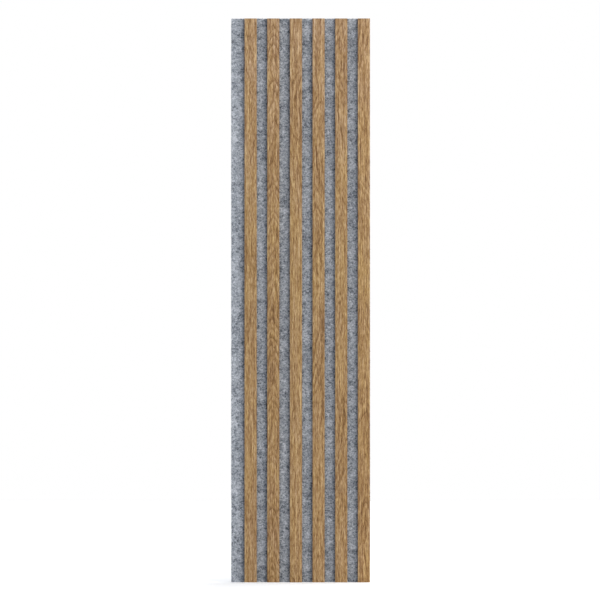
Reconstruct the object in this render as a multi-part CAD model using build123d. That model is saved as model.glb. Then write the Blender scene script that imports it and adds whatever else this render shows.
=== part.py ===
"""Slatted acoustic wall panel: oak-finish slats stapled to the front of a felt board.

The panel stands upright as it does on a wall. +Z runs up the slats, -Y faces the room,
and the origin is the centre of the felt's back face, which lies on the wall.
All sizes are in millimetres.
"""

import os

from build123d import *

# Felt board
PANEL_LENGTH = 1220.0  # height of the felt and of every slat
FELT_THICKNESS = 9.0
FELT_MARGIN = 28.5  # bare felt to the left of the first slat

# Slats
SLAT_COUNT = 6
SLAT_PITCH = 49.0
SLAT_WIDTH = 26.5
SLAT_THICKNESS = 13.0
ARRIS_RADIUS = 1.0  # rounding of a slat's two long front edges

# Staples, driven from the back through the felt into the slats
STAPLE_ROWS = 6  # along each slat
STAPLE_END_DISTANCE = 60.0  # from the panel's end to the nearest row
STAPLE_COVER = 6.0  # slat left in front of a staple's points
CROWN_WIDTH = 11.2  # outside, across the two legs
CROWN_SINK = 0.4  # how far the crown is pressed below the felt's back
DENT_CLEARANCE = 0.2  # room round the crown in the felt
WIRE_THICKNESS = 0.6
WIRE_WIDTH = 1.2
BEND_RADIUS = 0.8  # outside, where the crown turns into a leg
POINT_LENGTH = 1.5  # slanted tip of a leg

# Worked out from the sizes above
PANEL_WIDTH = FELT_MARGIN + (SLAT_COUNT - 1) * SLAT_PITCH + SLAT_WIDTH
FIRST_SLAT_X = -PANEL_WIDTH / 2 + FELT_MARGIN + SLAT_WIDTH / 2
STAPLE_ROW_SPACING = (PANEL_LENGTH - 2 * STAPLE_END_DISTANCE) / (STAPLE_ROWS - 1)
CROWN_FACE_Y = -CROWN_SINK
CROWN_SEAT_Y = CROWN_FACE_Y - WIRE_THICKNESS
LEG_TIP_Y = -(FELT_THICKNESS + SLAT_THICKNESS - STAPLE_COVER)


def slat_centres():
    """The X of each slat's middle, from left to right."""
    return [FIRST_SLAT_X + i * SLAT_PITCH for i in range(SLAT_COUNT)]


def staple_places(slat_x):
    """Where the staples of one slat sit, from the bottom row up."""
    lowest = -PANEL_LENGTH / 2 + STAPLE_END_DISTANCE
    return [Pos(slat_x, 0, lowest + row * STAPLE_ROW_SPACING) for row in range(STAPLE_ROWS)]


def make_staple():
    """One staple: a flat wire bent to a crown and two legs, each leg cut to a slanted point."""
    outer = CROWN_WIDTH / 2
    inner = outer - WIRE_THICKNESS
    shoulder_y = LEG_TIP_Y + POINT_LENGTH
    outline = Polyline(
        (-outer, CROWN_FACE_Y),
        (outer, CROWN_FACE_Y),
        (outer, LEG_TIP_Y),
        (inner, shoulder_y),
        (inner, CROWN_SEAT_Y),
        (-inner, CROWN_SEAT_Y),
        (-inner, shoulder_y),
        (-outer, LEG_TIP_Y),
        close=True,
    )
    profile = make_face(outline)
    crown_corners = profile.vertices().group_by(Axis.Y)[-1]
    profile = fillet(crown_corners, BEND_RADIUS)
    return extrude(profile, amount=WIRE_WIDTH / 2, both=True)


def make_crown_dent():
    """The dent that a crown presses into the back of the felt, down to the face it rests on."""
    return Box(
        CROWN_WIDTH + 2 * DENT_CLEARANCE,
        -CROWN_SEAT_Y,
        WIRE_WIDTH + 2 * DENT_CLEARANCE,
        align=(Align.CENTER, Align.MAX, Align.CENTER),
    )


def make_slat(centre_x):
    """One slat with its back on the felt and its two long front edges rounded."""
    section = Pos(centre_x, -FELT_THICKNESS) * Rectangle(
        SLAT_WIDTH, SLAT_THICKNESS, align=(Align.CENTER, Align.MAX)
    )
    front_corners = section.vertices().group_by(Axis.Y)[0]
    section = fillet(front_corners, ARRIS_RADIUS)
    return extrude(section, amount=PANEL_LENGTH / 2, both=True)


def make_felt():
    """The felt board, with its back face on the wall."""
    return Box(
        PANEL_WIDTH,
        FELT_THICKNESS,
        PANEL_LENGTH,
        align=(Align.CENTER, Align.MAX, Align.CENTER),
    )


def build_panel():
    """Every piece by its name. The staples cut their own way through the felt and into the slats."""
    staple = make_staple()
    dent = make_crown_dent()
    felt = make_felt()
    pieces = {}
    all_staples = []
    for number, centre_x in enumerate(slat_centres(), start=1):
        places = staple_places(centre_x)
        driven = [place * staple for place in places]
        pieces[f"slat_{number}"] = make_slat(centre_x) - driven
        felt = felt - [place * dent for place in places] - driven
        all_staples += driven
    pieces["felt_backing"] = felt
    pieces["staples"] = Compound(all_staples)
    return pieces


os.makedirs("parts", exist_ok=True)
for name, piece in build_panel().items():
    export_step(piece, f"parts/{name}.step")
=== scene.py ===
"""Looks of the slatted wall panel: oak-finish slats on a grey felt board, held by staples.

Lengths are in metres, in the panel's own frame: +Z up the slats, -Y towards the room.
Values written in millimetres are multiplied by MM. The noises of the materials count in millimetres.
"""

import math
from collections import namedtuple

import bmesh
import bpy
import numpy as np
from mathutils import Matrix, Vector, noise


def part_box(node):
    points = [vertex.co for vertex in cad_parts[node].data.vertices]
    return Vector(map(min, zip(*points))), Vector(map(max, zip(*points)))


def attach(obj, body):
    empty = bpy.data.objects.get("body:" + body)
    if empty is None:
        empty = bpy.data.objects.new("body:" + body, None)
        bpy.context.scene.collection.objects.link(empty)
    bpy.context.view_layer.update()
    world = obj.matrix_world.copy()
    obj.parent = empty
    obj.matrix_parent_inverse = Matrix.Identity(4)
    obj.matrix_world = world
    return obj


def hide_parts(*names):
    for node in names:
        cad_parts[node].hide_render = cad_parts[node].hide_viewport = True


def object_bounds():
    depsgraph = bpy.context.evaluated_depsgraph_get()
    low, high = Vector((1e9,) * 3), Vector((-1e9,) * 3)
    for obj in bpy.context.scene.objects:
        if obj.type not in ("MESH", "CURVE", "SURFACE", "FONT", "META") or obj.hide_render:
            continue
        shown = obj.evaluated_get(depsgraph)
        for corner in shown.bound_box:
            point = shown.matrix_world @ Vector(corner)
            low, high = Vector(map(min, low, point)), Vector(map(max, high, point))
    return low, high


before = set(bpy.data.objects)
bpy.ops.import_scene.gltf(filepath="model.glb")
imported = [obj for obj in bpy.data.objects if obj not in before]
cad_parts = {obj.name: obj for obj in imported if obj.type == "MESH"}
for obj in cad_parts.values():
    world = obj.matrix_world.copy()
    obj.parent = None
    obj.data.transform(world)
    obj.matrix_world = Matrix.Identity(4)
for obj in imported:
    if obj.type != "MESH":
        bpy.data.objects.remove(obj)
cad_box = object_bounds()

MM = 0.001
BODY = "root"
WHITE = (1.0, 1.0, 1.0, 1.0)

# Photograph's frame
PICTURE_SIDE = 600  # pixels
PANEL_TOP_PIXEL = 18.4
PANEL_BOTTOM_PIXEL = 582.4
PANEL_LEFT_PIXEL = 231.3
CAMERA_DISTANCE = 15.0
CAMERA_FAR = 100.0
SENSOR_WIDTH = 36.0  # millimetres, as the camera counts them

# Light
LEFT_SKY = (0.19, 0.25, 0.35)
RIGHT_SKY = (1.84, 1.80, 1.73)
SKY_TURN = 0.15  # how far round from the middle the sky goes from one to the other
KEY_POWER = 2.0  # watts
KEY_SIZE = (1.1, 1.1)
KEY_PLACE = (2.2, -1.45, 1.0)
KEY_AIM = (0.0, 0.0, 0.2)
FLOOR_SIDE = 12.0
FLOOR_COLOUR = (0.88, 0.88, 0.88)
FLOOR_ROUGHNESS = 0.9
FLOOR_GLOW = 0.27  # white added to the floor where the camera sees it

# Slats
SLAT_COUNT = 6
SLAT_NODES = [f"slat_{number}" for number in range(1, SLAT_COUNT + 1)]
LAST_SLAT = SLAT_COUNT - 1
ARRIS_RADIUS = 1.0 * MM
ARRIS_STEPS = 6
SLAT_ROW_STEP = 2.5 * MM
FRONT_STEP = 0.8 * MM
SIDE_STEP = 1.2 * MM
SHARP_ANGLE = math.radians(40)  # edges that turn more than this stay sharp
FOIL = 0.35 * MM  # thickness of the oak finish, seen round the sawn ends
SLATS_TURNED = (0, 2)  # slats whose finish runs the other way up
ARCHED_SLAT = 1  # the slat whose grain stands in arches all along it
GRAIN = "grain"  # attribute: millimetres across the wrapped face, millimetres along it, slat's own offset
SLAT_GRAIN_OFFSET = 37.3

# Felt board
FELT_NODE = "felt_backing"
FELT_ROW_STEP = 2.6 * MM
OPEN_STEP = 2.2 * MM  # between columns where the felt shows between slats
HIDDEN_STEP = 6.6 * MM  # between columns under the slats
BACK_STEP = 5.0 * MM
STAPLE_STEP = 1.6 * MM  # between lines of the back near a staple
FELT_EDGE = 0.9 * MM  # radius of the cut edges
EDGE_TURNS = 3
WALL_STEPS = 4
OUTWARD = ((0, -1), (1, 0), (0, 1), (-1, 0))  # x and z of the way out of each side of the board
GROOVE_DEPTH = 0.8 * MM  # the felt is pressed in along the foot of each slat
GROOVE_REACH = 5.0 * MM
GROOVE_LINES = (0.8 * MM, 1.8 * MM, 3.2 * MM)
SHADE_AND_PRESS = "shade_and_press"  # attribute: how much the felt is darkened, from 0 to 1: painted shade along the foot of each slat, and pressed felt with painted shade in each staple's dimple
# Painted shade along the foot of each slat, where the slats shade the felt
FOOT_SHADE_REACH = 9.0 * MM  # painted shade: the felt is painted darker this far out from the foot of a slat
FOOT_PAINTED_SHADE = 0.23
BACK_SINK = 0.2 * MM  # mean depth of the lumpy back below the wall's plane
UNDER_SLAT = 0.25 * MM  # the hidden felt lies this far behind the backs of the slats
LUMPS = ((0.16, 13), (0.13, 5))  # height and breadth of the felt's lumps, in millimetres
FRONT_LUMPS = 0.0  # three places in the noise, which keep the lumps of the faces apart
BACK_LUMPS = 3.0
RIM_LUMPS = 7.0
RIM_LUMP_STRETCH = 40  # lumps of the cut edges are this much shorter through the board

# Staples
STAPLE_NODE = "staples"
STAPLE_ROWS = 6
WIRE_WIDTH = 1.2 * MM
CROWN_HALF = 5.6 * MM
DIMPLE_DEPTH = 0.95 * MM
DIMPLE_REACH = 6.0 * MM
DIMPLE_ROW_REACH = DIMPLE_REACH * 1.2  # rows of the mesh lie close together as far as this

# Loose fibres of the felt
FIBRE_POINTS = 5
FIBRE_SIDES = 3
FIBRE_LENGTH = (3.0 * MM, 10.0 * MM)
FIBRE_RISE = (0.15 * MM, 0.7 * MM)
FIBRE_BOW = 1.6 * MM
FIBRE_RADIUS = (0.045 * MM, 0.09 * MM)
FIBRE_SINK = 0.35 * MM
FRONT_FIBRES = 5000
RIM_FIBRES = 1800
BACK_FIBRES = 1600
FIBRE_SEED = 41
FIBRE_ROOM = FIBRE_LENGTH[1]  # from the middle of a fibre to the end of its face
GAP_FIBRE_ROOM = FIBRE_LENGTH[1] * 0.3  # the same between the slats
RIM_FIBRE_ROOM = 3 * FELT_EDGE  # the same through the thickness of the board
RIM_SWING = math.radians(18)  # fibres of the cut edges run nearly along them


def even_steps(start, end, step):
    """Evenly spaced values from start to end, about step apart."""
    count = max(1, round(abs(end - start) / step))
    return list(np.linspace(start, end, count + 1))


class Graph:
    """Short calls for building a node tree."""

    NEW_STOP = 0.5  # where a stop of a ramp stands until it is given its place
    MIX_COLOURS = (6, 7)  # places of the two colours among the inputs of a mix
    MIX_RESULT = 2  # place of the mixed colour among its outputs

    def __init__(self, tree):
        self.tree = tree

    def add(self, kind, **settings):
        node = self.tree.nodes.new(kind)
        for name, value in settings.items():
            setattr(node, name, value)
        return node

    def put(self, socket, value):
        if isinstance(value, bpy.types.NodeSocket):
            self.tree.links.new(value, socket)
        else:
            socket.default_value = value

    def fill(self, node, values):
        for name, value in values.items():
            self.put(node.inputs[name], value)

    def math(self, operation, a, b=None):
        node = self.add("ShaderNodeMath", operation=operation)
        self.put(node.inputs[0], a)
        if b is not None:
            self.put(node.inputs[1], b)
        return node.outputs[0]

    def plus(self, a, b):
        return self.math("ADD", a, b)

    def minus(self, a, b):
        return self.math("SUBTRACT", a, b)

    def times(self, a, b):
        return self.math("MULTIPLY", a, b)

    def total(self, values):
        result, *others = values
        for value in others:
            result = self.plus(result, value)
        return result

    def weighted(self, *terms):
        """Sum of values, each times its weight."""
        return self.total([self.times(value, weight) for value, weight in terms])

    def vector(self, x, y, z):
        node = self.add("ShaderNodeCombineXYZ")
        for socket, value in zip(node.inputs, (x, y, z)):
            self.put(socket, value)
        return node.outputs[0]

    def split(self, vector):
        node = self.add("ShaderNodeSeparateXYZ")
        self.put(node.inputs[0], vector)
        return node.outputs

    def vector_math(self, operation, a, b):
        node = self.add("ShaderNodeVectorMath", operation=operation)
        self.put(node.inputs[0], a)
        self.put(node.inputs[1], b)
        return node.outputs[0]

    def moved(self, vector, way):
        return self.vector_math("ADD", vector, way)

    def scaled(self, vector, factors):
        return self.vector_math("MULTIPLY", vector, factors)

    def turned(self, vector, angles):
        node = self.add("ShaderNodeMapping", vector_type="POINT")
        self.fill(node, {"Vector": vector, "Rotation": angles})
        return node.outputs[0]

    def object_place(self):
        return self.add("ShaderNodeTexCoord").outputs["Object"]

    def millimetres(self):
        """The place on the object, in millimetres."""
        return self.scaled(self.object_place(), (1 / MM, 1 / MM, 1 / MM))

    def noise(self, vector, scale=1.0, detail=2.0, roughness=0.5, distortion=0.0, colour=False):
        node = self.add("ShaderNodeTexNoise", noise_dimensions="3D")
        self.fill(node, {"Vector": vector, "Scale": scale, "Detail": detail})
        self.fill(node, {"Roughness": roughness, "Distortion": distortion})
        return node.outputs["Color" if colour else "Fac"]

    def span(self, value, low, high, to_low=0.0, to_high=1.0, smooth=False):
        node = self.add("ShaderNodeMapRange", clamp=True)
        node.interpolation_type = "SMOOTHSTEP" if smooth else "LINEAR"
        self.fill(node, {"Value": value, "From Min": low, "From Max": high})
        self.fill(node, {"To Min": to_low, "To Max": to_high})
        return node.outputs[0]

    def ramp(self, value, stops):
        node = self.add("ShaderNodeValToRGB")
        elements = node.color_ramp.elements
        while len(elements) < len(stops):
            elements.new(self.NEW_STOP)
        for element, (place, colour) in zip(elements, stops):
            element.position = place
            element.color = (*colour, 1.0)
        self.put(node.inputs[0], value)
        return node.outputs[0]

    def mix(self, factor, a, b, blend="MIX"):
        node = self.add("ShaderNodeMix", data_type="RGBA", blend_type=blend, clamp_factor=True)
        self.put(node.inputs[0], factor)
        for index, value in zip(self.MIX_COLOURS, (a, b)):
            if isinstance(value, tuple):
                value = (*value, 1.0)
            self.put(node.inputs[index], value)
        return node.outputs[self.MIX_RESULT]

    def tinted(self, colour, tint, share=1.0):
        return self.mix(share, colour, tint, "MULTIPLY")

    def bump(self, height, strength, distance):
        node = self.add("ShaderNodeBump")
        self.fill(node, {"Strength": strength, "Distance": distance, "Height": height})
        return node.outputs[0]

    def seen(self):
        """1 for rays that the camera sees by, glossy and transmitted ones too, and 0 for others."""
        path = self.add("ShaderNodeLightPath")
        seen = self.math("MAXIMUM", path.outputs["Is Camera Ray"], path.outputs["Is Glossy Ray"])
        return self.math("MAXIMUM", seen, path.outputs["Is Transmission Ray"])


# Steps from an sRGB level to a linear value
FULL_LEVEL = 255
TOE_END = 0.04045
TOE_SLOPE = 12.92
CURVE_SHIFT = 0.055
CURVE_POWER = 2.4


def linear(*levels):
    """An sRGB colour of 0 to 255 as the linear values that shaders take."""
    def channel(level):
        share = level / FULL_LEVEL
        if share <= TOE_END:
            return share / TOE_SLOPE
        return ((share + CURVE_SHIFT) / (1 + CURVE_SHIFT)) ** CURVE_POWER

    return tuple(channel(level) for level in levels)


def new_material(name):
    """(material, its graph, its surface shader) for an empty material with one Principled shader."""
    material = bpy.data.materials.new(name)
    material.use_nodes = True
    graph = Graph(material.node_tree)
    material.node_tree.nodes.clear()
    shader = graph.add("ShaderNodeBsdfPrincipled")
    output = graph.add("ShaderNodeOutputMaterial")
    graph.put(output.inputs["Surface"], shader.outputs[0])
    return material, graph, shader


NOISE_RANGE = (0.3, 0.7)  # nearly all that a noise gives

# Oak finish: its colours
OAK_TONES = (
    (0.0, linear(98, 64, 37)),
    (0.28, linear(131, 95, 59)),
    (0.5, linear(157, 121, 81)),
    (0.72, linear(182, 148, 108)),
    (1.0, linear(212, 183, 148)),
)
OAK_GREYER = (0.955, 0.965, 1.0)
OAK_GOLDEN = (1.0, 1.0, 0.86)
HUE_RANGE = (0.40, 0.60)  # from greyer to golden
OAK_PAINTED_LEFT_SHADE = (0.97, 0.97, 0.97)  # painted light: a little darker at the left and paler at the right, as light from the right falls on the panel
OAK_PAINTED_RIGHT_LIGHT = (1.03, 1.03, 1.03)
OAK_LAST = (1.03, 1.01, 0.965)  # the last slat is a little warmer than the others
OAK_SIDE = (0.66, 0.74, 0.90)  # the sides are darker and less red than the front
OAK_PAINTED_LIGHT_BY_HEIGHT = (  # painted light by height: tint at shares of the height, a painted sheen paler and bluer at the top and painted shade darker lower down
    (0.0, (0.936, 0.902, 0.81)),
    (0.15, (0.902, 0.869, 0.759)),
    (0.55, (0.92, 0.903, 0.782)),
    (0.80, (0.966, 0.95, 0.891)),
    (1.0, (1.03, 1.03, 1.075)),
)
OAK_ROUGHNESS = (0.48, 0.40)  # of its darkest and its palest tone
SIDE_ROUGHNESS = 0.5  # added on the sides
OAK_SPECULAR = 0.35
GRAIN_RELIEF = 0.25  # share of the tone in the relief of the pores
OAK_BUMP = 0.35
OAK_BUMP_DEPTH = 0.15 * MM

# Oak finish: noises over the wrapped face, with their width and length in millimetres
Layer = namedtuple("Layer", "width length shift detail roughness", defaults=(0.5,))
STRAIGHT_STREAKS = Layer(width=1.8, length=70.0, shift=17.9, detail=3.0, roughness=0.55)
SHORT_STREAKS = Layer(width=1.7, length=13.0, shift=23.9, detail=3.0, roughness=0.55)
LONG_LINES = Layer(width=1.4, length=200.0, shift=67.7, detail=1.0)
PATCHES = Layer(width=13.0, length=110.0, shift=43.7, detail=3.0)
BANDS = Layer(width=3.6, length=70.0, shift=5.3, detail=3.0, roughness=0.6)
WANDER = Layer(width=12.0, length=40.0, shift=0.0, detail=1.0)
DASHES = Layer(width=0.34, length=5.5, shift=31.3, detail=0.6)
TICKS = Layer(width=0.75, length=9.0, shift=71.9, detail=2.0)
HUE_STREAKS = Layer(width=2.4, length=30.0, shift=97.1, detail=2.0)

# Oak finish: noises along a slat only
Drift = namedtuple("Drift", "length shift")
HEART_DRIFT = Drift(length=200.0, shift=61.0)
CLIMB_DRIFT = Drift(length=70.0, shift=3.0)
FIGURE_DRIFT = Drift(length=160.0, shift=29.0)

# Oak finish: growth rings, as contours counted in millimetres
HEART_SWING = 20.0  # how far the heart of the arches strays from the middle of a slat
ARCHED_HEART = 0.2  # share of it on the arched slat
ARCH_BLUNTNESS = 12.0  # square millimetres that round off the tips of the arches
CLIMB_LENGTH = 6.0  # length of a slat for one millimetre of contour
CLIMB_SWING = 18.0
ARCHED_CLIMB = 2.0  # the arched slat's contours climb faster by this
WANDER_SWING = 8.0
STREAK_SWING = 3.5
RING_WIDTH = 10.0
RING_START = (0.0, 0.08)  # shares of a ring's width, where it turns dark
RING_FADE = (0.70, 0.10)  # shares of it, from where it is pale again to where it begins to fade
RING_APART = 7.3  # sets the strengths of neighbouring rings apart
RING_CHANGE = Drift(length=200, shift=83.0)
RING_STRENGTH = (0.35, 0.65)
FIGURE_RANGE = (0.40, 0.60)
FAINTEST = 0.15  # strength of the faintest rings and of the faintest figure
PORE_RANGE = (0.58, 0.68)
PORE_RINGS = (0.0, 0.7)  # darkness of a ring where pores are fewest and where they are full
FEWEST_PORES = 0.35
TICK_RANGE = (0.52, 0.68)
SIDE_RANGE = (13.5, 14.6)  # millimetres from the middle of the front to where a side begins

# Oak finish: what each layer adds to the tone
STRAIGHT_TONE = 1.25
SHORT_TONE = 1.35
LINE_TONE = 0.5
PATCH_TONE = 0.10
BAND_TONE = 0.30
RING_TONE = -0.30
PORE_TONE = -0.45
TICK_TONE = -0.36
SIDE_TONE = -0.3
OAK_TONE_SHIFT = -1.04
HUE_SHARE = 0.5  # of the patches and of the streaks in the hue


def oak_fields(graph, grain):
    """(tone from dark to pale, pores, hue, share of side) of the oak figure at a grain coordinate."""
    across, along, own = graph.split(grain)

    def stretched(over, drift):
        return graph.vector(over, graph.times(along, 1 / drift.length), graph.plus(own, drift.shift))

    def layer(kind, over):
        place = stretched(graph.times(over, 1 / kind.width), kind)
        return graph.noise(place, detail=kind.detail, roughness=kind.roughness)

    def lengthwise(drift, over=0.0):
        return graph.noise(stretched(over, drift), detail=0.0)

    def on_arched(there):
        return graph.span(arched, 0.0, 1.0, 1.0, there)

    short_streaks = layer(SHORT_STREAKS, across)
    patches = layer(PATCHES, across)
    off_arched = graph.math("ABSOLUTE", graph.minus(own, ARCHED_SLAT * SLAT_GRAIN_OFFSET))
    arched = graph.span(off_arched, 0.0, 1.0, 1.0, 0.0)

    heart = graph.span(lengthwise(HEART_DRIFT), *NOISE_RANGE, -HEART_SWING, HEART_SWING)
    aside = graph.minus(across, graph.times(heart, on_arched(ARCHED_HEART)))
    bow = graph.math("SQRT", graph.plus(graph.times(aside, aside), ARCH_BLUNTNESS))
    climb = graph.weighted((along, 1 / CLIMB_LENGTH), (lengthwise(CLIMB_DRIFT), CLIMB_SWING))
    contour = graph.plus(bow, graph.times(climb, on_arched(ARCHED_CLIMB)))
    contour = graph.plus(contour, graph.times(layer(WANDER, across), WANDER_SWING))
    contour = graph.plus(contour, graph.times(short_streaks, STREAK_SWING))

    phase = graph.times(contour, 1 / RING_WIDTH)
    ring = graph.math("FRACT", phase)
    ring_number = graph.math("FLOOR", phase)
    strength = lengthwise(RING_CHANGE, graph.times(ring_number, RING_APART))
    ring_dark = graph.times(graph.span(ring, *RING_START, smooth=True), graph.span(ring, *RING_FADE))
    ring_dark = graph.times(ring_dark, graph.span(strength, *RING_STRENGTH, FAINTEST, 1.0))
    figure = graph.span(lengthwise(FIGURE_DRIFT), *FIGURE_RANGE, FAINTEST, 1.0)
    figure = graph.math("MAXIMUM", figure, arched)

    pores = graph.span(layer(DASHES, across), *PORE_RANGE, smooth=True)
    pores = graph.times(pores, graph.span(ring_dark, *PORE_RINGS, FEWEST_PORES, 1.0))
    side = graph.span(graph.math("ABSOLUTE", across), *SIDE_RANGE)
    tone = graph.weighted(
        (layer(STRAIGHT_STREAKS, across), STRAIGHT_TONE),
        (short_streaks, SHORT_TONE),
        (layer(LONG_LINES, across), LINE_TONE),
        (patches, PATCH_TONE),
        (layer(BANDS, contour), BAND_TONE),
        (graph.times(ring_dark, figure), RING_TONE),
        (pores, PORE_TONE),
        (graph.span(layer(TICKS, across), *TICK_RANGE, smooth=True), TICK_TONE),
        (side, SIDE_TONE),
    )
    hue = graph.weighted((patches, HUE_SHARE), (layer(HUE_STREAKS, across), HUE_SHARE))
    return graph.plus(tone, OAK_TONE_SHIFT), pores, hue, side


def oak_material():
    material, graph, shader = new_material("oak_finish")
    grain = graph.add("ShaderNodeAttribute", attribute_name=GRAIN).outputs["Vector"]
    tone, pores, hue, side = oak_fields(graph, grain)
    low, high = cad_box
    x, _, z = graph.split(graph.object_place())
    _, _, own = graph.split(grain)
    last = graph.span(own, (LAST_SLAT - 1) * SLAT_GRAIN_OFFSET, LAST_SLAT * SLAT_GRAIN_OFFSET)
    colour = graph.ramp(tone, OAK_TONES)
    colour = graph.tinted(colour, graph.mix(graph.span(hue, *HUE_RANGE), OAK_GREYER, OAK_GOLDEN))
    # painted light: a painted sheen at the top and painted shade lower down the slats
    colour = graph.tinted(colour, graph.ramp(graph.span(z, low.z, high.z), OAK_PAINTED_LIGHT_BY_HEIGHT))
    # painted light from the right: the slats are painted paler towards the right
    colour = graph.tinted(colour, graph.mix(graph.span(x, low.x, high.x), OAK_PAINTED_LEFT_SHADE, OAK_PAINTED_RIGHT_LIGHT))
    colour = graph.tinted(colour, OAK_LAST, last)
    satin = graph.span(tone, 0.0, 1.0, *OAK_ROUGHNESS)
    height = graph.minus(graph.times(tone, GRAIN_RELIEF), pores)
    graph.fill(shader, {
        "Base Color": graph.tinted(colour, OAK_SIDE, side),
        "Roughness": graph.plus(satin, graph.times(side, SIDE_ROUGHNESS)),
        "Specular IOR Level": OAK_SPECULAR,
        "Normal": graph.bump(height, OAK_BUMP, OAK_BUMP_DEPTH),
    })
    return material


# Core of the slats, bare at their sawn ends
CORE_TONES = ((0.40, linear(112, 83, 56)), (0.60, linear(148, 114, 79)), (0.80, linear(176, 142, 103)))
CORE_FIBRE_SCALE = (1.1, 2.4, 1.0)
CORE_FIBRE_TONE = 0.9
CORE_CHIP_TONE = 0.3
CORE_ROUGHNESS = (0.95, 0.80)
CORE_SPECULAR = 0.2
CORE_BUMP = 0.5
CORE_BUMP_DEPTH = 0.25 * MM


def core_material():
    material, graph, shader = new_material("fibreboard_core")
    place = graph.millimetres()
    fibres = graph.noise(graph.scaled(place, CORE_FIBRE_SCALE), detail=4.0, roughness=0.7)
    chips = graph.noise(place, scale=0.45, detail=2.0)
    tone = graph.weighted((fibres, CORE_FIBRE_TONE), (chips, CORE_CHIP_TONE))
    graph.fill(shader, {
        "Base Color": graph.ramp(tone, CORE_TONES),
        "Roughness": graph.span(fibres, *NOISE_RANGE, *CORE_ROUGHNESS),
        "Specular IOR Level": CORE_SPECULAR,
        "Normal": graph.bump(fibres, CORE_BUMP, CORE_BUMP_DEPTH),
    })
    return material


# Felt
FELT_DARK = linear(82, 87, 95)
FELT_MIDDLE = linear(165.5, 171, 179.5)
FELT_PALE = linear(222, 225, 231)
FELT_TONES = ((0.0, FELT_DARK), (0.5, FELT_MIDDLE), (1.0, FELT_PALE))
FELT_LAY = (0.92, 1.0, 1.08)  # clumps are a little wider than high
BLOB_SIZE = 14
CLUMP_SIZE = 3.8
SPECK_SIZE = 1.9
BEND_SIZE = 9  # of the turns that strands take
BEND_REACH = (5.0, 5.0, 5.0)
STRAND_ANGLES = (0.3, 1.2, 2.1, 2.8)
STRAND_SCALE = (1 / 0.35, 1.0, 1 / 7.0)  # one over their width and their length
STRAND_APART = 19.0  # sets the layers of strands apart
BLOB_TONE = 0.8
CLUMP_TONE = 2.0
STRAND_TONE = 0.40
SPECK_TONE = 0.70
# painted shade at the feet of the slats, and pressed felt with painted shade in the dimples
SHADE_AND_PRESS_TONE = -0.45
FELT_TONE_SHIFT = -2.05
FELT_ROUGHNESS = (0.98, 0.88)
FELT_SPECULAR = 0.1
CLUMP_RELIEF = 0.8
STRAND_RELIEF = 0.35
FELT_BUMP = 0.5
FELT_BUMP_DEPTH = 0.8 * MM


def felt_material():
    material, graph, shader = new_material("felt")
    place = graph.millimetres()
    laid = graph.scaled(place, FELT_LAY)
    blobs = graph.noise(laid, scale=1 / BLOB_SIZE, detail=1.5, roughness=0.5)
    clumps = graph.noise(laid, scale=1 / CLUMP_SIZE, detail=3.0, roughness=0.70, distortion=0.4)
    specks = graph.noise(place, scale=1 / SPECK_SIZE, detail=1.0)
    bend = graph.noise(place, scale=1 / BEND_SIZE, detail=1.0, colour=True)
    bent = graph.moved(place, graph.scaled(bend, BEND_REACH))

    def strand_layer(number, angle):
        lined = graph.scaled(graph.turned(bent, (0.0, angle, 0.0)), STRAND_SCALE)
        return graph.noise(graph.moved(lined, (0.0, 0.0, STRAND_APART * number)), detail=1.0)

    strands = graph.total([strand_layer(number, angle) for number, angle in enumerate(STRAND_ANGLES)])
    # painted shade at the feet of the slats, and pressed felt with painted shade in the staples' dimples
    shade_and_press = graph.add("ShaderNodeAttribute", attribute_name=SHADE_AND_PRESS).outputs["Fac"]
    tone = graph.weighted(
        (blobs, BLOB_TONE),
        (clumps, CLUMP_TONE),
        (strands, STRAND_TONE),
        (specks, SPECK_TONE),
        (shade_and_press, SHADE_AND_PRESS_TONE),
    )
    height = graph.weighted((clumps, CLUMP_RELIEF), (strands, STRAND_RELIEF))
    graph.fill(shader, {
        "Base Color": graph.ramp(graph.plus(tone, FELT_TONE_SHIFT), FELT_TONES),
        "Roughness": graph.span(clumps, *NOISE_RANGE, *FELT_ROUGHNESS),
        "Specular IOR Level": FELT_SPECULAR,
        "Normal": graph.bump(height, FELT_BUMP, FELT_BUMP_DEPTH),
    })
    return material


# Fibres of the felt
FIBRE_TONES = ((0.55, FELT_DARK), (1.0, FELT_MIDDLE), (1.0, FELT_PALE))
FIBRE_PATCH_SIZE = 7
FIBRE_PATCH_TONE = 1.6
FIBRE_SPECK_TONE = 0.4
FIBRE_ROUGHNESS = (0.95, 0.75)
FIBRE_SPECULAR = 0.15


def fibre_material():
    material, graph, shader = new_material("felt_fibre")
    place = graph.millimetres()
    patches = graph.noise(place, scale=1 / FIBRE_PATCH_SIZE, detail=0.0)
    specks = graph.noise(place, scale=1.5, detail=1.0)
    tone = graph.weighted((patches, FIBRE_PATCH_TONE), (specks, FIBRE_SPECK_TONE))
    graph.fill(shader, {
        "Base Color": graph.ramp(tone, FIBRE_TONES),
        "Roughness": graph.span(specks, *NOISE_RANGE, *FIBRE_ROUGHNESS),
        "Specular IOR Level": FIBRE_SPECULAR,
    })
    return material


# Wire of the staples
WIRE_TONES = ((0.3, linear(176, 179, 182)), (0.7, linear(222, 224, 226)))
WIRE_DRAWN_SCALE = (0.3, 6.0, 6.0)  # fine lines along the crown
WIRE_ROUGHNESS = (0.38, 0.24)
WIRE_BUMP = 0.25
WIRE_BUMP_DEPTH = 0.05 * MM


def wire_material():
    material, graph, shader = new_material("staple_wire")
    place = graph.millimetres()
    bloom = graph.noise(place, scale=1.6, detail=3.0, roughness=0.6)
    drawn = graph.noise(graph.scaled(place, WIRE_DRAWN_SCALE), detail=2.0)
    graph.fill(shader, {
        "Base Color": graph.ramp(bloom, WIRE_TONES),
        "Metallic": 1.0,
        "Roughness": graph.span(bloom, *NOISE_RANGE, *WIRE_ROUGHNESS),
        "Normal": graph.bump(drawn, WIRE_BUMP, WIRE_BUMP_DEPTH),
    })
    return material


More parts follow.
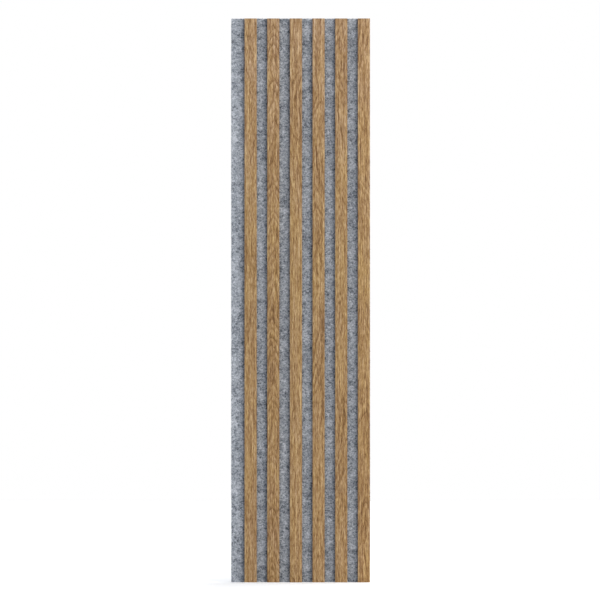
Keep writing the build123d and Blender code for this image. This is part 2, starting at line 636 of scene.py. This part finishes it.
def floor_material():
    material, graph, shader = new_material("pale_floor")
    graph.fill(shader, {
        "Base Color": (*FLOOR_COLOUR, 1.0),
        "Roughness": FLOOR_ROUGHNESS,
        "Specular IOR Level": 0.0,
        "Emission Color": WHITE,
        "Emission Strength": graph.times(graph.seen(), FLOOR_GLOW),
    })
    return material


def link(name, mesh, materials):
    for material in materials:
        mesh.materials.append(material)
    piece = bpy.data.objects.new(name, mesh)
    bpy.context.scene.collection.objects.link(piece)
    return piece


def tidy_normals(mesh):
    """Turns every face outwards."""
    shape = bmesh.new()
    shape.from_mesh(mesh)
    bmesh.ops.recalc_face_normals(shape, faces=shape.faces)
    shape.to_mesh(mesh)
    shape.free()


# Slat meshes
def slat_outline(low, high):
    """Points round a slat's wrapped faces, from the back of its left side to the back of its right.

    Each is (x, y, millimetres across from the middle of the front).
    """
    points = [(low.x, y) for y in even_steps(high.y, low.y + ARRIS_RADIUS, SIDE_STEP)]
    for step in range(1, ARRIS_STEPS + 1):
        turn = math.pi / 2 * step / ARRIS_STEPS
        in_x = ARRIS_RADIUS * (1 - math.cos(turn))
        in_y = ARRIS_RADIUS * (1 - math.sin(turn))
        points.append((low.x + in_x, low.y + in_y))
    front = even_steps(low.x + ARRIS_RADIUS, high.x - ARRIS_RADIUS, FRONT_STEP)
    points += [(x, low.y) for x in front[1:-1]]
    points += [(low.x + high.x - x, y) for x, y in reversed(points[:len(points) - len(front) + 2])]
    reach = [0.0]
    for (x0, y0), (x1, y1) in zip(points, points[1:]):
        reach.append(reach[-1] + math.hypot(x1 - x0, y1 - y0))
    return [(x, y, (r - reach[-1] / 2) / MM) for (x, y), r in zip(points, reach)]


def make_slat(number, node, oak, core):
    """One slat in its finish, with the core bare at both ends."""
    low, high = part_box(node)
    outline = slat_outline(low, high)
    levels = even_steps(low.z, high.z, SLAT_ROW_STEP)
    wide = len(outline)
    vertices = [(x, y, z) for z in levels for x, y, _ in outline]
    upward = (-1 if number in SLATS_TURNED else 1) / MM
    own = number * SLAT_GRAIN_OFFSET
    grain = [(across, z * upward, own) for z in levels for _, _, across in outline]
    faces, cores = [], []
    for row in range(len(levels) - 1):
        for column in range(wide):
            a = row * wide + column
            b = row * wide + (column + 1) % wide
            faces.append((a, b, b + wide, a + wide))
    for row, z in ((0, low.z), (len(levels) - 1, high.z)):
        first = len(vertices)
        for x, y, across in outline:
            in_x = min(max(x, low.x + FOIL), high.x - FOIL)
            in_y = min(max(y, low.y + FOIL), high.y - FOIL)
            vertices.append((in_x, in_y, z))
            grain.append((across, z * upward, own))
        edge = range(row * wide, row * wide + wide)
        faces += [(edge[c], edge[(c + 1) % wide], first + (c + 1) % wide, first + c) for c in range(wide)]
        cores.append(len(faces))
        faces.append(tuple(range(first, first + wide)))
    mesh = bpy.data.meshes.new(f"{node}_finish")
    mesh.from_pydata(vertices, [], faces)
    attribute = mesh.attributes.new(GRAIN, "FLOAT_VECTOR", "POINT")
    attribute.data.foreach_set("vector", np.array(grain, np.float32).ravel())
    piece = link(f"{node}_finish", mesh, [oak, core])
    for index in cores:
        mesh.polygons[index].material_index = 1
    tidy_normals(mesh)
    mesh.shade_smooth()
    mesh.set_sharp_from_angle(angle=SHARP_ANGLE)
    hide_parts(node)
    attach(piece, BODY)


def add_slats():
    oak = oak_material()
    core = core_material()
    for number, node in enumerate(SLAT_NODES):
        make_slat(number, node, oak, core)


# Felt board mesh
def lumps(x, z, side):
    """How far the pressed felt stands out of its mean plane at a point."""
    place = Vector((x / MM, side, z / MM))
    return sum(height * noise.noise(place / breadth) for height, breadth in LUMPS) * MM


def joined(stretches):
    """One rising list of values from stretches that start where the last one ended."""
    values = list(stretches[0])
    for stretch in stretches[1:]:
        values += list(stretch)[1:]
    return values


def felt_front_columns(slats, start, end):
    """x of the front's columns, close together where the felt shows and with lines for the grooves."""
    stretches = []
    x = start
    for low, high in slats:
        foot = [x] if x == start else [x, *(x + line for line in GROOVE_LINES)]
        other_foot = [low.x - line for line in reversed(GROOVE_LINES)] + [low.x]
        middle = even_steps(foot[-1], other_foot[0], OPEN_STEP)
        stretches.append(joined([foot, middle, other_foot]))
        stretches.append(even_steps(low.x, min(high.x, end), HIDDEN_STEP))
        x = high.x
    return joined(stretches)


def foot_distance(x, slats):
    """How far x is from the nearest foot of a slat."""
    return min(abs(x - corner.x) for slat in slats for corner in slat)


def groove(x, slats):
    """How far the felt is pressed in at x, along the foot of a slat or under it."""
    if any(low.x < x < high.x for low, high in slats):
        return UNDER_SLAT
    return GROOVE_DEPTH * max(0.0, 1 - foot_distance(x, slats) / GROOVE_REACH) ** 2


def foot_painted_shade(x, slats):
    """Painted shade on the felt at x, darkest at the feet of the slats beside it."""
    return FOOT_PAINTED_SHADE * max(0.0, 1 - foot_distance(x, slats) / FOOT_SHADE_REACH)


def lines_near(start, end, places, reach):
    """Values from start to end, close together within reach of each place."""
    stretches = []
    value = start
    for place in places:
        stretches.append(even_steps(value, place - reach, BACK_STEP))
        stretches.append(even_steps(place - reach, place + reach, STAPLE_STEP))
        value = place + reach
    stretches.append(even_steps(value, end, BACK_STEP))
    return joined(stretches)


def dimple(x, z, columns, rows):
    """How far a staple's crown has pulled in the back of the felt at a point."""
    aside = min(abs(x - place) for place in columns)
    above = min(abs(z - place) for place in rows)
    away = math.hypot(max(0.0, aside - CROWN_HALF), above) / DIMPLE_REACH
    return DIMPLE_DEPTH * (1 - away * away) ** 2 if away < 1 else 0.0


def rim_sides(wide, high):
    """The four runs of a grid's border, each from corner to corner, all one way round."""
    bottom = list(range(wide))
    right = [row * wide + wide - 1 for row in range(high)]
    top = [(high - 1) * wide + column for column in reversed(range(wide))]
    left = [row * wide for row in reversed(range(high))]
    return [bottom, right, top, left]


def zipped(first, second, places):
    """Triangles between two runs of points that start and end level with each other."""
    def shares(run):
        reach = [0.0]
        for a, b in zip(run, run[1:]):
            reach.append(reach[-1] + math.dist(places[a], places[b]))
        return [value / reach[-1] for value in reach]

    first_shares = shares(first)
    second_shares = shares(second)
    faces = []
    i = j = 0
    while i < len(first) - 1 or j < len(second) - 1:
        second_done = j == len(second) - 1
        first_done = i == len(first) - 1
        if second_done or (not first_done and first_shares[i + 1] <= second_shares[j + 1]):
            faces.append((first[i], first[i + 1], second[j]))
            i += 1
        else:
            faces.append((first[i], second[j + 1], second[j]))
            j += 1
    return faces


def grid_faces(wide, high, first):
    """Faces of a grid of points, numbered row by row from first."""
    faces = []
    for row in range(high - 1):
        for column in range(wide - 1):
            a = first + row * wide + column
            faces.append((a, a + 1, a + wide + 1, a + wide))
    return faces


def edge_profile(low_y, high_y):
    """(distance out from the border of the front, y) of each ring round the board's cut edge."""
    turns = [math.pi / 2 * step / EDGE_TURNS for step in range(1, EDGE_TURNS + 1)]
    rings = [(FELT_EDGE * math.sin(t), low_y + FELT_EDGE * (1 - math.cos(t))) for t in turns]
    wall_step = (high_y - low_y - 2 * FELT_EDGE) / WALL_STEPS
    wall = even_steps(low_y + FELT_EDGE, high_y - FELT_EDGE, wall_step)
    rings += [(FELT_EDGE, y) for y in wall[1:]]
    rings += [(FELT_EDGE * math.cos(t), high_y - FELT_EDGE * (1 - math.sin(t))) for t in turns[:-1]]
    return rings


def ring_side(border, turn, out, y):
    """Points of one side of a ring round the board, out from a side of the front's border.

    At its ends, the board's corners, a ring stands out both ways and has no lumps.
    """
    points = []
    (first_x, _, first_z), (last_x, _, last_z) = border[0], border[-1]
    turn_x, turn_z = turn
    for x, _, z in border[1:-1]:
        reach = out + lumps(x + z, RIM_LUMP_STRETCH * y, RIM_LUMPS) * out / FELT_EDGE
        points.append((x + turn_x * reach, y, z + turn_z * reach))
    way_x, way_z = np.sign(last_x - first_x), np.sign(last_z - first_z)
    start = (first_x + (turn_x - way_x) * out, y, first_z + (turn_z - way_z) * out)
    return [start, *points]


def make_felt(material):
    """The felt board: a front with grooves, rings round its cut edge, and a back with dimples."""
    low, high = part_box(FELT_NODE)
    slats = [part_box(node) for node in SLAT_NODES]
    staple_low, staple_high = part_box(STAPLE_NODE)
    staple_rows = np.linspace(staple_low.z + WIRE_WIDTH / 2, staple_high.z - WIRE_WIDTH / 2, STAPLE_ROWS)
    slat_middles = [(a.x + b.x) / 2 for a, b in slats]
    left, right = low.x + FELT_EDGE, high.x - FELT_EDGE
    foot, head = low.z + FELT_EDGE, high.z - FELT_EDGE

    columns = felt_front_columns(slats, left, right)
    rows = even_steps(foot, head, FELT_ROW_STEP)
    places = [(x, low.y + groove(x, slats) - lumps(x, z, FRONT_LUMPS), z) for z in rows for x in columns]
    # painted shade along the feet of the slats
    shade_and_press = [foot_painted_shade(x, slats) for x in columns] * len(rows)
    faces = grid_faces(len(columns), len(rows), 0)

    runs = rim_sides(len(columns), len(rows))
    borders = [[places[index] for index in run] for run in runs]
    for out, y in edge_profile(low.y, high.y):
        new_runs = []
        for border, turn in zip(borders, OUTWARD):
            first = len(places)
            places += ring_side(border, turn, out, y)
            new_runs.append(list(range(first, len(places))))
        for number, run in enumerate(new_runs):
            run.append(new_runs[(number + 1) % len(new_runs)][0])
        for old, new in zip(runs, new_runs):
            faces += [(a, b, d, c) for a, b, c, d in zip(old, old[1:], new, new[1:])]
        runs = new_runs

    back_columns = lines_near(left, right, slat_middles, CROWN_HALF + DIMPLE_REACH)
    back_rows = lines_near(foot, head, staple_rows, DIMPLE_ROW_REACH)
    first = len(places)
    shade_and_press += [0.0] * (first - len(shade_and_press))
    for z in back_rows:
        for x in back_columns:
            pulled = dimple(x, z, slat_middles, staple_rows)
            # the dimple's depth sets its pressed felt and painted shade
            shade_and_press.append(pulled / DIMPLE_DEPTH)
            places.append((x, high.y - BACK_SINK + lumps(x, z, BACK_LUMPS) - pulled, z))
    faces += [tuple(reversed(face)) for face in grid_faces(len(back_columns), len(back_rows), first)]
    for old, new in zip(runs, rim_sides(len(back_columns), len(back_rows))):
        faces += zipped(old, [first + index for index in new], places)

    mesh = bpy.data.meshes.new("felt_board")
    mesh.from_pydata(places, [], faces)
    mesh.attributes.new(SHADE_AND_PRESS, "FLOAT", "POINT").data.foreach_set("value", shade_and_press)
    tidy_normals(mesh)
    mesh.shade_smooth()
    piece = link("felt_board", mesh, [material])
    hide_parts(FELT_NODE)
    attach(piece, BODY)


# Loose fibres
def fibre_faces(count):
    """Faces of so many closed tubes, each with its points numbered ring by ring."""
    one = []
    for ring in range(FIBRE_POINTS - 1):
        for side in range(FIBRE_SIDES):
            a = ring * FIBRE_SIDES + side
            b = ring * FIBRE_SIDES + (side + 1) % FIBRE_SIDES
            one.append((a, b, b + FIBRE_SIDES, a + FIBRE_SIDES))
    last = (FIBRE_POINTS - 1) * FIBRE_SIDES
    one.append(tuple(reversed(range(FIBRE_SIDES))))
    one.append(tuple(range(last, last + FIBRE_SIDES)))
    points = FIBRE_POINTS * FIBRE_SIDES
    return [tuple(fibre * points + index for index in face) for fibre in range(count) for face in one]


def fibre_mesh(name, bases, normals, courses, swing, chance):
    """Closed thin tubes that arch out of the felt, with both ends in it, one at each base point.

    Each runs along its course, turned by up to swing either way.
    """
    count = len(bases)
    angle = chance.uniform(-swing, swing, (count, 1))
    along = courses * np.cos(angle) + np.cross(normals, courses) * np.sin(angle)
    aside = np.cross(normals, along)
    length = chance.uniform(*FIBRE_LENGTH, (count, 1))
    rise = chance.uniform(*FIBRE_RISE, (count, 1))
    bow = chance.uniform(-FIBRE_BOW, FIBRE_BOW, (count, 1))
    radius = chance.uniform(*FIBRE_RADIUS, (count, 1))
    rings = []
    for share in np.linspace(0, 1, FIBRE_POINTS):
        arch = math.sin(math.pi * share)
        middle = bases + along * length * (share - 0.5) + aside * bow * arch
        middle = middle + normals * (arch * (rise + FIBRE_SINK) - FIBRE_SINK)
        for side in range(FIBRE_SIDES):
            turn = 2 * math.pi * side / FIBRE_SIDES
            rings.append(middle + (aside * math.cos(turn) + normals * math.sin(turn)) * radius)
    places = np.stack(rings, axis=1).reshape(-1, 3)
    mesh = bpy.data.meshes.new(name)
    mesh.from_pydata(places.tolist(), [], fibre_faces(count))
    tidy_normals(mesh)
    mesh.shade_smooth()
    return mesh


def on_face(x, y, z, normal):
    """Points on an upright face, the way out of it at each of them, and a course straight up it."""
    count = len(x)
    return np.stack((x, y, z), axis=1), np.tile(normal, (count, 1)), np.tile((0.0, 0.0, 1.0), (count, 1))


def front_fibre_bases(chance):
    """Points on the felt that shows between the slats, the way out of it, and a course along it."""
    low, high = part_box(FELT_NODE)
    slats = [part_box(node) for node in SLAT_NODES]
    starts = np.array([low.x] + [b.x for _, b in slats[:-1]])
    ends = np.array([a.x for a, _ in slats])
    widths = ends - starts
    gap = chance.choice(len(starts), FRONT_FIBRES, p=widths / widths.sum())
    room = GAP_FIBRE_ROOM
    x = starts[gap] + room + chance.uniform(0, 1, FRONT_FIBRES) * (widths[gap] - 2 * room)
    z = chance.uniform(low.z + room, high.z - room, FRONT_FIBRES)
    y = np.array([low.y - lumps(a, b, FRONT_LUMPS) for a, b in zip(x, z)])
    return on_face(x, y, z, (0.0, -1.0, 0.0))


def back_fibre_bases(chance):
    """Points on the back of the felt, the way out of it, and a course along it."""
    low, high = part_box(FELT_NODE)
    x = chance.uniform(low.x + FIBRE_ROOM, high.x - FIBRE_ROOM, BACK_FIBRES)
    z = chance.uniform(low.z + FIBRE_ROOM, high.z - FIBRE_ROOM, BACK_FIBRES)
    y = np.array([high.y - BACK_SINK + lumps(a, b, BACK_LUMPS) for a, b in zip(x, z)])
    return on_face(x, y, z, (0.0, 1.0, 0.0))


def rim_fibre_bases(chance):
    """Points on the cut edges of the felt, the way out of it, and a course along the edge."""
    low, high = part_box(FELT_NODE)
    room = FIBRE_ROOM
    wide, tall = high.x - low.x - 2 * room, high.z - low.z - 2 * room
    bases, normals, courses = [], [], []
    for reach in chance.uniform(0, 2 * (wide + tall), RIM_FIBRES):
        y = chance.uniform(low.y + RIM_FIBRE_ROOM, high.y - RIM_FIBRE_ROOM)
        if reach < 2 * wide:
            up = 1 if reach < wide else -1
            bases.append((low.x + room + reach % wide, y, high.z if up > 0 else low.z))
            normals.append((0.0, 0.0, up))
            courses.append((1.0, 0.0, 0.0))
        else:
            out = 1 if reach < 2 * wide + tall else -1
            bases.append((high.x if out > 0 else low.x, y, low.z + room + (reach - 2 * wide) % tall))
            normals.append((out, 0.0, 0.0))
            courses.append((0.0, 0.0, 1.0))
    return np.array(bases), np.array(normals, float), np.array(courses)


def add_fibres():
    chance = np.random.default_rng(FIBRE_SEED)
    material = fibre_material()
    faces = (
        ("front", front_fibre_bases, math.pi),
        ("back", back_fibre_bases, math.pi),
        ("rim", rim_fibre_bases, RIM_SWING),
    )
    for face, bases_of, swing in faces:
        name = f"felt_fibres_{face}"
        piece = link(name, fibre_mesh(name, *bases_of(chance), swing, chance), [material])
        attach(piece, BODY)


def set_material(node, material):
    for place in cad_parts[node].material_slots:
        place.material = material


def add_camera():
    """A camera square in front, that sees the panel where the photograph shows it."""
    low, high = cad_box
    pixel = (high.z - low.z) / (PANEL_BOTTOM_PIXEL - PANEL_TOP_PIXEL)
    middle = PICTURE_SIDE / 2
    data = bpy.data.cameras.new("camera")
    data.sensor_width = SENSOR_WIDTH
    data.lens = SENSOR_WIDTH * CAMERA_DISTANCE / (PICTURE_SIDE * pixel)
    data.clip_end = CAMERA_FAR
    camera = bpy.data.objects.new("camera", data)
    camera.location = (
        low.x + (middle - PANEL_LEFT_PIXEL) * pixel,
        low.y - CAMERA_DISTANCE,
        high.z - (middle - PANEL_TOP_PIXEL) * pixel,
    )
    camera.rotation_euler = (math.pi / 2, 0.0, 0.0)
    bpy.context.scene.collection.objects.link(camera)
    bpy.context.scene.camera = camera


def add_lights():
    data = bpy.data.lights.new("key", "AREA")
    data.shape = "RECTANGLE"
    data.size, data.size_y = KEY_SIZE
    data.energy = KEY_POWER
    lamp = bpy.data.objects.new("key", data)
    lamp.location = KEY_PLACE
    lamp.rotation_euler = (Vector(KEY_AIM) - Vector(KEY_PLACE)).to_track_quat("-Z", "Y").to_euler()
    bpy.context.scene.collection.objects.link(lamp)


def add_world():
    """A sky that is bright on the right and dim on the left, and white where it is seen."""
    world = bpy.data.worlds.new("studio")
    world.use_nodes = True
    world.node_tree.nodes.clear()
    graph = Graph(world.node_tree)
    rightward = graph.split(graph.add("ShaderNodeTexCoord").outputs["Generated"])[0]
    share = graph.span(rightward, -SKY_TURN, SKY_TURN, smooth=True)
    ambient = graph.add("ShaderNodeBackground")
    graph.put(ambient.inputs["Color"], graph.mix(share, LEFT_SKY, RIGHT_SKY))
    white = graph.add("ShaderNodeBackground")
    white.inputs["Color"].default_value = WHITE
    shown = graph.add("ShaderNodeMixShader")
    for socket, value in zip(shown.inputs, (graph.seen(), ambient.outputs[0], white.outputs[0])):
        graph.put(socket, value)
    output = graph.add("ShaderNodeOutputWorld")
    graph.put(output.inputs["Surface"], shown.outputs[0])
    bpy.context.scene.world = world


def add_floor():
    low, _ = cad_box
    reach = FLOOR_SIDE / 2
    corners = [(-reach, -reach), (reach, -reach), (reach, reach), (-reach, reach)]
    mesh = bpy.data.meshes.new("floor")
    mesh.from_pydata([(x, y, low.z) for x, y in corners], [], [range(len(corners))])
    link("floor", mesh, [floor_material()])


add_camera()
add_lights()
add_world()
add_floor()
add_slats()
make_felt(felt_material())
add_fibres()
set_material(STAPLE_NODE, wire_material())
bpy.context.scene.view_settings.view_transform = "Standard"
